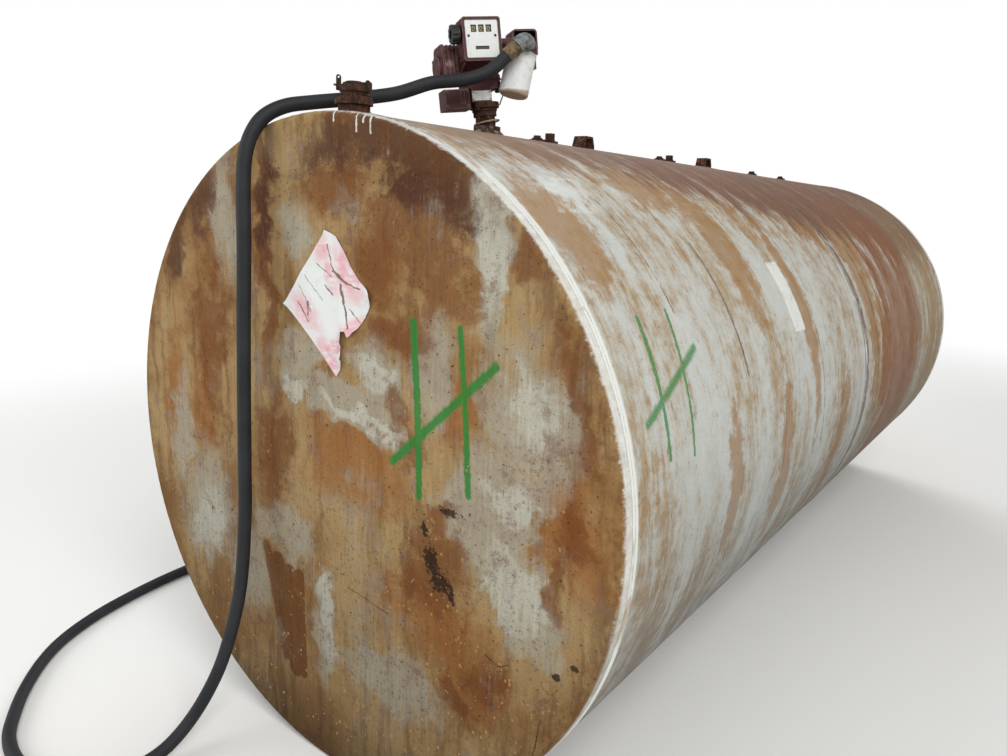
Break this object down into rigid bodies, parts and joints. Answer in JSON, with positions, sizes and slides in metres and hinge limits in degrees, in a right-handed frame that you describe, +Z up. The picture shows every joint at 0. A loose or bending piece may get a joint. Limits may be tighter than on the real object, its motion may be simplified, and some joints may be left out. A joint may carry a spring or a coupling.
{
  "type": "horizontal fuel storage tank",
  "caption": "Weathered above-ground horizontal steel tank with flat heads, lifting lugs, a hinged fill cap and a top-mounted transfer pump with meter, filter, hose and nozzle.",
  "frame": {"origin": "on the ground, under the middle of the tank's length and width", "axes": "+Z up, Y along the tank with the head that carries the fill fitting towards -Y, X across the tank"},
  "size_m": [2.3161, 4.77, 2.1568],
  "materials": {
    "rusty_steel": "dark rust",
    "ochre_rust": "ochre primer and rust, blistered",
    "worn_white_paint": "worn chalky white paint over rust",
    "faded_maroon_paint": "faded chalky maroon enamel",
    "white_face": "white enamel with some rust",
    "bare_aluminium": "dull cast",
    "brass": "tarnished",
    "black_rubber": "matte, dusty",
    "black_plastic": "weathered",
    "counter_plastic": "number wheels"
  },
  "bodies": {
    "tank": {"front_head": "ochre_rust", "rear_head": "ochre_rust", "front_course": "worn_white_paint", "rear_course": "worn_white_paint", "front_head_weld": "rusty_steel", "rear_head_weld": "rusty_steel", "girth_seam": "rusty_steel", "fill_saddle": "rusty_steel", "fill_neck": "rusty_steel", "fill_cap_base": "rusty_steel", "pump_boss": "rusty_steel", "riser_pipe": "rusty_steel", "pump_flange": "faded_maroon_paint", "pump_casing": "faded_maroon_paint", "motor_housing": "faded_maroon_paint", "motor_cover": "faded_maroon_paint", "switch_box": "faded_maroon_paint", "nameplate": "bare_aluminium", "meter_housing": "faded_maroon_paint", "meter_face": "white_face", "counter_wheels": "counter_plastic", "outlet_pipe": "faded_maroon_paint", "filter_head": "faded_maroon_paint", "filter_can": "white_face", "outlet_elbow": "bare_aluminium", "hose_coupling": "brass", "nozzle_boot": "faded_maroon_paint", "boot_bracket": "faded_maroon_paint", "boot_rest": "black_plastic", "wire_loop": "rusty_steel", "bonding_wire": "black_rubber", "front_bungs": "rusty_steel", "middle_bungs": "rusty_steel", "rear_bungs": "rusty_steel", "front_lifting_lug": "rusty_steel", "rear_lifting_lug": "rusty_steel", "hose": "black_rubber", "hose_coil": "black_rubber", "hose_tail": "black_rubber", "nozzle_body": "bare_aluminium", "nozzle_spout": "bare_aluminium", "nozzle_guard": "black_plastic"},
    "fill_cap": {"fill_cap": "rusty_steel"},
    "reset_knob": {"reset_knob": "black_plastic"}
  },
  "joints": [
    {"name": "fill_cap_hinge", "type": "hinge", "parent": "tank", "child": "fill_cap", "pos_m": [0.03074, -1.94066, 1.90659], "axis": [-0.5878, 0.809, 0], "range_deg": [0, 105]},
    {"name": "reset_knob_turn", "type": "hinge", "parent": "tank", "child": "reset_knob", "pos_m": [-0.01057, -1.54109, 2.10123], "axis": [-0.5536, -0.8248, -0.1151], "continuous": true}
  ]
}
